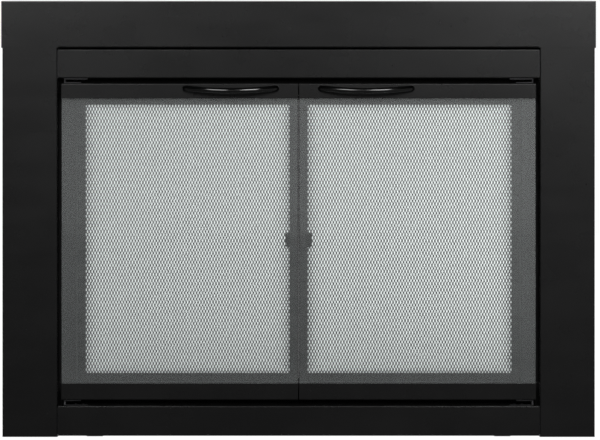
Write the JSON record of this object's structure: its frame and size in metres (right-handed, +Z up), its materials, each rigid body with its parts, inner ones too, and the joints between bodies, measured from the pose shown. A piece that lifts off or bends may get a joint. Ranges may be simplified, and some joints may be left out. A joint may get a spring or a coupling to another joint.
{
  "type": "fireplace glass door",
  "caption": "Black overlap-fit fireplace door set: steel surround with header, glass doors on pivots with bow handles, mesh gates behind and a sliding draught shutter.",
  "frame": {"origin": "on the hearth plane, at the middle of the part's width and depth", "axes": "+X to the right across the fireplace, +Y into the firebox, +Z up"},
  "size_m": [1.105, 0.1061, 0.81],
  "materials": {
    "frame_paint": "semi-matte black powder coat",
    "liner_paint": "matte black heat-proof paint",
    "gate_paint": "matte black paint",
    "mesh": "thin black paint on expanded steel",
    "handle_black": "gloss black enamel",
    "glass": "clear tempered",
    "gasket": "woven glass-fibre tape",
    "zinc": "blackened steel",
    "catch_plastic": "moulded, matte",
    "magnet": "ground ferrite"
  },
  "bodies": {
    "frame": {"header": "frame_paint", "left_stile": "frame_paint", "right_stile": "frame_paint", "top_rail": "frame_paint", "bottom_rail": "frame_paint", "head_liner": "liner_paint", "sill": "liner_paint", "left_jamb": "liner_paint", "right_jamb": "liner_paint", "corner_brackets": "zinc", "liner_screws": "zinc", "stile_screws": "zinc", "jamb_screws": "zinc", "header_screws": "zinc", "top_pivot_plates": "zinc", "bottom_pivot_plates": "zinc", "pivot_screws": "zinc", "door_catches": "catch_plastic", "catch_magnets": "magnet", "gate_catches": "catch_plastic", "floor_brackets": "zinc", "lintel_brackets": "zinc", "bracket_screws": "zinc", "clamp_bolts": "zinc", "clamp_nuts": "zinc", "damper_guides": "liner_paint"},
    "left_door": {"left_glass": "glass", "left_door_top_rail": "frame_paint", "left_door_bottom_rail": "frame_paint", "left_glass_gaskets": "gasket", "left_clamp_screws": "zinc", "left_handle": "handle_black", "left_handle_screws": "zinc", "left_door_pivots": "zinc"},
    "right_door": {"right_glass": "glass", "right_door_top_rail": "frame_paint", "right_door_bottom_rail": "frame_paint", "right_glass_gaskets": "gasket", "right_clamp_screws": "zinc", "right_handle": "handle_black", "right_handle_screws": "zinc", "right_door_pivots": "zinc"},
    "left_gate": {"left_gate_frame": "gate_paint", "left_mesh": "mesh", "left_mesh_retainer": "gate_paint", "left_gate_tab": "gate_paint", "left_tab_rivets": "gate_paint", "left_gate_pins": "zinc"},
    "right_gate": {"right_gate_frame": "gate_paint", "right_mesh": "mesh", "right_mesh_retainer": "gate_paint", "right_gate_tab": "gate_paint", "right_tab_rivets": "gate_paint", "right_gate_pins": "zinc"},
    "damper": {"damper_shutter": "liner_paint", "damper_knob": "handle_black"}
  },
  "joints": [
    {"name": "left_door_hinge", "type": "hinge", "parent": "frame", "child": "left_door", "pos_m": [-0.435, -0.016, 0.363], "axis": [0, 0, -1], "range_deg": [0, 110]},
    {"name": "right_door_hinge", "type": "hinge", "parent": "frame", "child": "right_door", "pos_m": [0.435, -0.016, 0.363], "axis": [0, 0, 1], "range_deg": [0, 110]},
    {"name": "left_gate_hinge", "type": "hinge", "parent": "frame", "child": "left_gate", "pos_m": [-0.408, 0.005, 0.369], "axis": [0, 0, -1], "range_deg": [0, 88]},
    {"name": "right_gate_hinge", "type": "hinge", "parent": "frame", "child": "right_gate", "pos_m": [0.408, 0.005, 0.369], "axis": [0, 0, 1], "range_deg": [0, 88]},
    {"name": "shutter_slide", "type": "slide", "parent": "frame", "child": "damper", "axis": [1, 0, 0], "range_m": [0, 0.013]}
  ],
  "couplings": [
    {"joint": "left_gate_hinge", "follows": "left_door_hinge", "ratio": 0.8},
    {"joint": "right_gate_hinge", "follows": "right_door_hinge", "ratio": 0.8}
  ]
}
